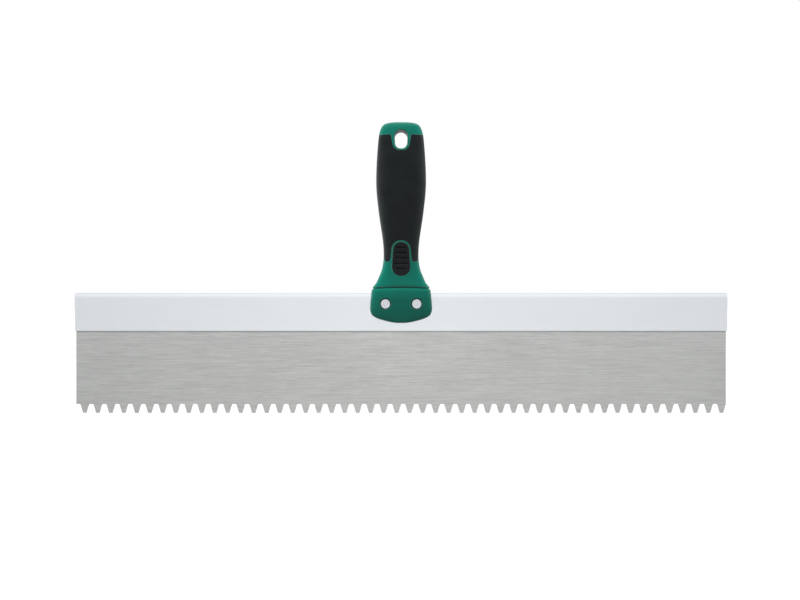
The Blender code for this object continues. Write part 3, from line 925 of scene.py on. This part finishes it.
def spine_bar(name, sizes, growth=0.0, bottom=None, reach=0.0):
    """The spine's solid outer form: a bar with a crowned top."""
    half = SPINE_HIGH.y + growth
    shoulder = SPINE_HIGH.z - sizes.crown
    low = (SPINE_LOW.x - reach, -half, SPINE_LOW.z if bottom is None else bottom)
    item = block(name, low, (SPINE_HIGH.x + reach, half, shoulder + half))
    with editing(item, "EDGE"):
        choose(item, "edges", lambda edge: all(
            v.co.z > shoulder and abs(v.co.y) > half / 2 for v in edge.verts)
            and abs(edge.verts[0].co.x - edge.verts[1].co.x) > half)
        bpy.ops.mesh.bevel(
            offset=half * NEARLY_WHOLE, segments=12, affect="EDGES", clamp_overlap=False)
        bpy.ops.mesh.select_mode(type="VERT")
        bpy.ops.mesh.select_all(action="SELECT")
        bpy.ops.mesh.remove_doubles(threshold=BAR_WELD)
        choose(item, "verts", lambda v: v.co.z > shoulder + WELD)
        bpy.ops.transform.resize(
            value=(1, 1, (sizes.crown + growth) / half), center_override=(0, 0, shoulder))
    return item


class TROWEL_OT_spine(bpy.types.Operator):
    """Model the aluminium spine that holds the blade"""

    bl_idname = "trowel.spine"
    bl_label = "Spine"

    def execute(self, context):
        settings = context.scene.trowel
        sizes = settings.spine
        item = spine_bar("aluminium_spine", sizes)
        with editing(item, "EDGE"):
            choose(item, "edges", lambda edge: all(v.co.z < SPINE_LOW.z + WELD for v in edge.verts)
                   and abs(edge.verts[0].co.x - edge.verts[1].co.x) > WELL_CLEAR)
            bpy.ops.mesh.bevel(offset=sizes.lip, segments=5, affect="EDGES")
        half_slot = sizes.slot / 2
        low = (SPINE_LOW.x - WELL_CLEAR, -half_slot, SPINE_LOW.z - WELL_CLEAR)
        high = (SPINE_HIGH.x + WELL_CLEAR, half_slot, sizes.slot_top)
        cut(item, block("blade_slot", low, high))
        x, z = rivet_centre()
        for at in (-x, x):
            bore_for_rivet(item, settings, at, z)
        with editing(item, "EDGE"):
            choose(item, "edges", lambda edge: abs(middle(edge).x) > SPINE_HIGH.x - WELD)
            bpy.ops.mesh.bevel(offset=sizes.end_break, segments=2, affect="EDGES")
        metal = shared_material(anodised_aluminium, sizes)
        finish_piece(item, metal, "spine_aluminium", "spine_profile")
        return {"FINISHED"}


class TROWEL_OT_handle_core(bpy.types.Operator):
    """Model the stiff green moulding of the handle"""

    bl_idname = "trowel.handle_core"
    bl_label = "Handle core"

    def execute(self, context):
        settings = context.scene.trowel
        sizes, rivet = settings.handle, settings.rivet
        sections = handle_sections(sizes.ring_step)
        item = handle_form("green_handle_core", sections, sizes.arch)
        pocket_depth = sizes.skin + sizes.fit
        for name, half in (("sleeve", SLEEVE_HALF), ("pads", PAD_HALF)):
            outline = grown(rounded(mirrored(half)), sizes.fit)
            pocket = prism(name + "_pocket", outline, -WELL_CLEAR, WELL_CLEAR)
            cut(pocket, handle_form("pocket_floor", under_skin(sections), sizes.arch, -pocket_depth))
            cut(item, pocket)
        hole = rounded(mirrored(HOLE_HALF))
        for side in (-1, 1):
            cut(item, rolled_cutter(
                "hanging_hole", hole, sections, side, -HOLE_OVERLAP, sizes.hole_rim))
        cut(item, spine_bar("spine_slot", settings.spine, sizes.clearance, 0.0, WELL_CLEAR))
        x, z = rivet_centre()
        floor = -PIN_LOW.y - rivet.head_thickness - sizes.clearance
        for at in (-x, x):
            bore_for_rivet(item, settings, at, z)
            for side in (-1, 1):
                outline = circle(at, z, sizes.counterbore)
                cut(item, rolled_cutter(
                    "counterbore", outline, sections, side, floor, sizes.bore_rim, 3))
        finish_piece(item, shared_material(green_plastic, sizes), "handle_plastic", "handle_core")
        return {"FINISHED"}


class TROWEL_OT_grip_sleeve(bpy.types.Operator):
    """Model the black soft skin let into the handle"""

    bl_idname = "trowel.grip_sleeve"
    bl_label = "Grip sleeve"

    def execute(self, context):
        sizes = context.scene.trowel.handle
        sections = handle_sections(sizes.ring_step)
        item = handle_form("black_grip_sleeve", sections, sizes.arch)
        outline = rounded(mirrored(SLEEVE_HALF))
        cut(item, prism("sleeve_outline", outline, -WELL_CLEAR, WELL_CLEAR), "INTERSECT")
        cut(item, handle_form("sleeve_inside", under_skin(sections), sizes.arch, -sizes.skin))
        finish_piece(item, shared_material(black_rubber, sizes), "grip_rubber", "grip_sleeve")
        return {"FINISHED"}


def pad_groove(sizes, z, half_length, surface, side):
    """A round-ended bar along X that sinks a groove into a pad."""
    start_clean()
    bpy.ops.mesh.primitive_cylinder_add(
        vertices=24, radius=sizes.groove_radius, depth=2 * half_length,
        location=(0, side * surface, z), rotation=(0, math.radians(90), 0),
    )
    bpy.ops.object.transform_apply(location=True, rotation=True, scale=True)
    item = named("pad_groove")
    with editing(item, "EDGE"):
        choose(item, "edges", lambda edge: abs(middle(edge).x) > half_length - WELD)
        bpy.ops.mesh.bevel(
            offset=sizes.groove_radius * GROOVE_END_ROUNDING, segments=4, affect="EDGES")
        bpy.ops.mesh.select_all(action="SELECT")
        deeper = sizes.groove_depth / sizes.groove_radius
        bpy.ops.transform.resize(value=(1, deeper, 1), center_override=(0, side * surface, z))
    return item


class TROWEL_OT_thumb_pads(bpy.types.Operator):
    """Model the grooved thumb pads on the front and the back"""

    bl_idname = "trowel.thumb_pads"
    bl_label = "Thumb pads"

    def execute(self, context):
        sizes = context.scene.trowel.handle
        sections = handle_sections(sizes.ring_step)
        for side, face in ((-1, "front"), (1, "back")):
            item = handle_form(
                "thumb_pad_" + face + "_skin", under_skin(sections), sizes.arch, sizes.pad_proud)
            low, high = sorted((0.0, side * WELL_CLEAR))
            cut(item, prism("pad_outline", rounded(mirrored(PAD_HALF)), low, high), "INTERSECT")
            cut(item, handle_form("pad_inside", under_skin(sections), sizes.arch, -sizes.skin))
            for index, groove_length in enumerate(PAD_GROOVE_LENGTHS):
                z = sizes.groove_top - index * sizes.groove_pitch
                surface = surface_depth(sections, 0.0, z) + sizes.pad_proud
                cut(item, pad_groove(sizes, z, groove_length / 2, surface, side))
            modify(item, "REMESH", mode="VOXEL", voxel_size=PAD_VOXEL)
            modify(item, "SMOOTH", factor=0.5, iterations=PAD_SMOOTHING)
            finish_piece(item, shared_material(black_rubber, sizes), "grip_rubber", "thumb_pad_" + face)
        return {"FINISHED"}


def is_round_face(face):
    """Whether a face is one of a rivet's flat ends, and not part of its side."""
    return len(face.verts) == ROUND_POINTS


def rivet_head(name, sizes, x, z, side):
    """A pressed head whose inner face is left selected in face mode, ready for its shank."""
    face = -PIN_LOW.y
    radius = (PIN_HIGH.x - PIN_LOW.x) / 2
    low, high = sorted((side * face, side * (face - sizes.head_thickness)))
    item = rod(name, radius, low, high, x, z)
    with editing(item, "EDGE"):
        choose(item, "edges", lambda edge: all(abs(v.co.y) > face - WELD for v in edge.verts))
        bpy.ops.mesh.bevel(offset=sizes.head_break, segments=4, affect="EDGES")
        bpy.ops.mesh.select_mode(type="FACE")
        choose(item, "faces", lambda f: abs(middle(f).y) > face - WELD and is_round_face(f))
        bpy.ops.mesh.inset(thickness=sizes.dish_rim, depth=0)
        bpy.ops.mesh.inset(thickness=sizes.dish_slope, depth=-sizes.dish)
    return item


class TROWEL_OT_rivets(bpy.types.Operator):
    """Model the two rivets: a pin from the front pressed into a barrel from the back"""

    bl_idname = "trowel.rivets"
    bl_label = "Rivets"

    def execute(self, context):
        sizes = context.scene.trowel.rivet
        metal = shared_material(rivet_metal, sizes)
        centre, z = rivet_centre()
        under = -PIN_LOW.y - sizes.head_thickness
        radius = (PIN_HIGH.x - PIN_LOW.x) / 2
        for hand, x in (("left", -centre), ("right", centre)):
            pin = rivet_head("rivet_pin_%s_pressed" % hand, sizes, x, z, -1)
            with editing(pin):
                choose(pin, "faces", lambda f: middle(f).y > -under - WELD and is_round_face(f))
                bpy.ops.mesh.inset(thickness=radius - sizes.pin_radius, depth=0)
                extrude(y=PIN_HIGH.y + under)
            finish_piece(pin, metal, "rivet_metal", "rivet_pin_" + hand)
            barrel = rivet_head("rivet_barrel_%s_pressed" % hand, sizes, x, z, 1)
            with editing(barrel):
                choose(barrel, "faces", lambda f: middle(f).y < under + WELD and is_round_face(f))
                bpy.ops.mesh.inset(thickness=radius - sizes.barrel_radius, depth=0)
                extrude(y=BARREL_LOW.y - under)
                bpy.ops.mesh.inset(thickness=sizes.barrel_radius - sizes.bore_radius, depth=0)
                extrude(y=sizes.bore_floor - BARREL_LOW.y)
            finish_piece(barrel, metal, "rivet_metal", "rivet_barrel_" + hand)
        return {"FINISHED"}


def side_softbox(side, power):
    """A tinted rectangular light at one side of the handle, which leaves no glint on metal."""
    x, y, z = SOFTBOX_PLACE
    location = Vector((side * x, y, z))
    start_clean()
    bpy.ops.object.light_add(type="AREA", location=location)
    lamp = named("side_softbox")
    lamp.data.shape = "RECTANGLE"
    lamp.data.size, lamp.data.size_y = SOFTBOX_SIZE
    lamp.data.energy = power
    lamp.data.color = SOFTBOX_TINT
    lamp.visible_camera = lamp.visible_glossy = False
    lamp.rotation_euler = (Vector(SOFTBOX_AIM) - location).to_track_quat("-Z", "Y").to_euler()


def sky_light(strength):
    """A soft light from above that is even all over the floor and leaves no glint on metal."""
    start_clean()
    bpy.ops.object.light_add(type="SUN", location=(0, -1, 2), rotation=SKY_TURN)
    lamp = named("sky_light")
    lamp.data.angle = SKY_SPREAD
    lamp.data.energy = strength
    lamp.visible_glossy = False


def studio_world(sizes):
    """White beyond the floor for the camera, and for the pieces a weaker light from all around."""
    world = bpy.data.worlds.new("studio")
    bpy.context.scene.world = world
    world.use_nodes = True
    tree = world.node_tree
    tree.nodes.clear()
    path = tree.nodes.new("ShaderNodeLightPath")
    seen = add_node(tree, "ShaderNodeBackground", {"Color": (1, 1, 1, 1), "Strength": sizes.backdrop})
    direction = tree.nodes.new("ShaderNodeTexCoord").outputs["Generated"]
    parts = add_node(tree, "ShaderNodeSeparateXYZ", {0: direction}).outputs
    lift = map_range(tree, parts["Z"], *SURROUND_LIFT)
    aside = map_range(tree, maths(tree, "ABSOLUTE", parts["X"]), *SURROUND_FADE)
    level = map_range(tree, path.outputs["Is Glossy Ray"], 0.0, 1.0, sizes.surround, sizes.mirrored)
    strength = maths(tree, "MULTIPLY", maths(tree, "MULTIPLY", lift, aside), level)
    lit = add_node(tree, "ShaderNodeBackground", {"Color": SURROUND_TINT, "Strength": strength})
    mix = add_node(tree, "ShaderNodeMixShader", {
        0: path.outputs["Is Camera Ray"], 1: lit.outputs[0], 2: seen.outputs[0]})
    output = tree.nodes.new("ShaderNodeOutputWorld")
    tree.links.new(mix.outputs[0], output.inputs["Surface"])


class TROWEL_OT_stage(bpy.types.Operator):
    """Set up the floor, the light and the camera"""

    bl_idname = "trowel.stage"
    bl_label = "Stage"

    def execute(self, context):
        sizes = context.scene.trowel.stage
        start_clean()
        bpy.ops.mesh.primitive_circle_add(
            vertices=128, radius=sizes.floor_radius, fill_type="NGON",
            location=(0, 0, CAD_BOX[0][2] - FLOOR_GAP),
        )
        floor = named("floor")
        floor.data.materials.append(matt_floor(sizes))
        for side in (-1, 1):
            side_softbox(side, sizes.side_power)
        sky_light(sizes.sun_strength)
        studio_world(sizes)
        start_clean()
        bpy.ops.object.camera_add(
            location=(sizes.aim_x, -sizes.distance, sizes.aim_z), rotation=(math.radians(90), 0, 0))
        camera = named("camera")
        camera.data.sensor_width = 36.0
        camera.data.lens = camera.data.sensor_width * sizes.distance / sizes.view_width
        camera.data.clip_end = 2 * sizes.floor_radius
        context.scene.camera = camera
        context.scene.view_settings.view_transform = "Standard"
        return {"FINISHED"}


class TROWEL_PT_pieces(bpy.types.Panel):
    """The trowel's pieces, in the order in which they are made"""

    bl_idname = "TROWEL_PT_pieces"
    bl_label = "Notched Trowel"
    bl_space_type = "VIEW_3D"
    bl_region_type = "UI"
    bl_category = "Trowel"

    def draw(self, context):
        for step in STEPS:
            self.layout.operator(step.bl_idname)


STEPS = (
    TROWEL_OT_stage,
    TROWEL_OT_blade,
    TROWEL_OT_spine,
    TROWEL_OT_handle_core,
    TROWEL_OT_grip_sleeve,
    TROWEL_OT_thumb_pads,
    TROWEL_OT_rivets,
)
SETTINGS = (
    TrowelBladeSettings,
    TrowelSpineSettings,
    TrowelHandleSettings,
    TrowelRivetSettings,
    TrowelStageSettings,
    TrowelSettings,
)


def register():
    for item in SETTINGS + STEPS + (TROWEL_PT_pieces,):
        bpy.utils.register_class(item)
    bpy.types.Scene.trowel = PointerProperty(type=TrowelSettings)


def unregister():
    del bpy.types.Scene.trowel
    for item in reversed(SETTINGS + STEPS + (TROWEL_PT_pieces,)):
        bpy.utils.unregister_class(item)


def main():
    register()
    bpy.ops.trowel.stage()
    bpy.ops.trowel.blade()
    bpy.ops.trowel.spine()
    bpy.ops.trowel.handle_core()
    bpy.ops.trowel.grip_sleeve()
    bpy.ops.trowel.thumb_pads()
    bpy.ops.trowel.rivets()


if __name__ == "__main__":
    main()
